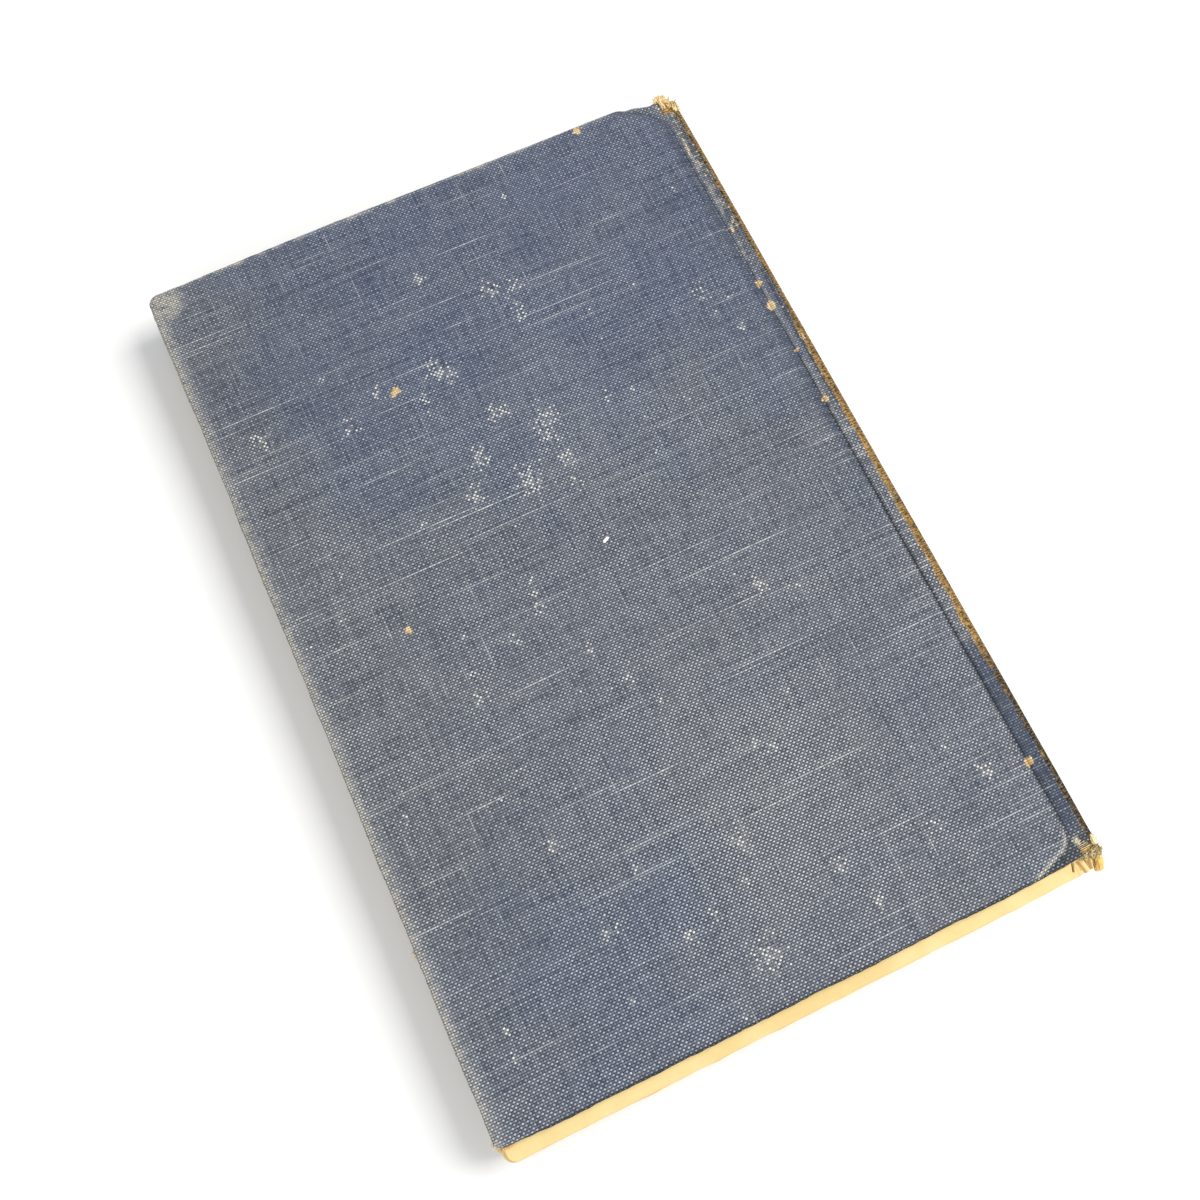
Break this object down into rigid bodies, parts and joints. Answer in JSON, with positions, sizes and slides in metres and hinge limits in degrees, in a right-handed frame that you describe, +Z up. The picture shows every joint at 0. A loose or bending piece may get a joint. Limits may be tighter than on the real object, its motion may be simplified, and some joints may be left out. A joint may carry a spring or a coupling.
{
  "type": "hardback book",
  "caption": "Closed cloth-bound hardback book with a plain back cover up, hinged boards, worn spine edges and a text block standing out at the tail.",
  "frame": {"origin": "under the middle of the closed book, on the surface that it lies on", "axes": "+Z up through the back cover, +X towards the spine, +Y towards the head of the pages"},
  "size_m": [0.128, 0.1944, 0.014],
  "materials": {
    "book_cloth": "plain woven blue cloth, worn",
    "leaves": "yellowed uncoated paper",
    "endpaper": "yellowed uncoated paper",
    "card": "raw grey-brown board",
    "mull": "open starched cotton",
    "lining_paper": "brown kraft paper"
  },
  "bodies": {
    "block": {"text_block": "leaves", "back_flyleaf": "endpaper", "front_flyleaf": "endpaper", "mull": "mull", "spine_lining": "lining_paper", "spine_inlay": "card", "spine_cloth": "book_cloth"},
    "back_cover": {"back_board": "card", "back_cover_cloth": "book_cloth", "back_mull_flap": "mull", "back_pastedown": "endpaper"},
    "front_cover": {"front_board": "card", "front_cover_cloth": "book_cloth", "front_mull_flap": "mull", "front_pastedown": "endpaper"}
  },
  "joints": [
    {"name": "back_joint", "type": "hinge", "parent": "block", "child": "back_cover", "pos_m": [0.06225, 0, 0.01252], "axis": [0, 1, 0], "range_deg": [0, 178]},
    {"name": "front_joint", "type": "hinge", "parent": "block", "child": "front_cover", "pos_m": [0.06225, 0, 0.00147], "axis": [0, -1, 0], "range_deg": [0, 178]}
  ]
}
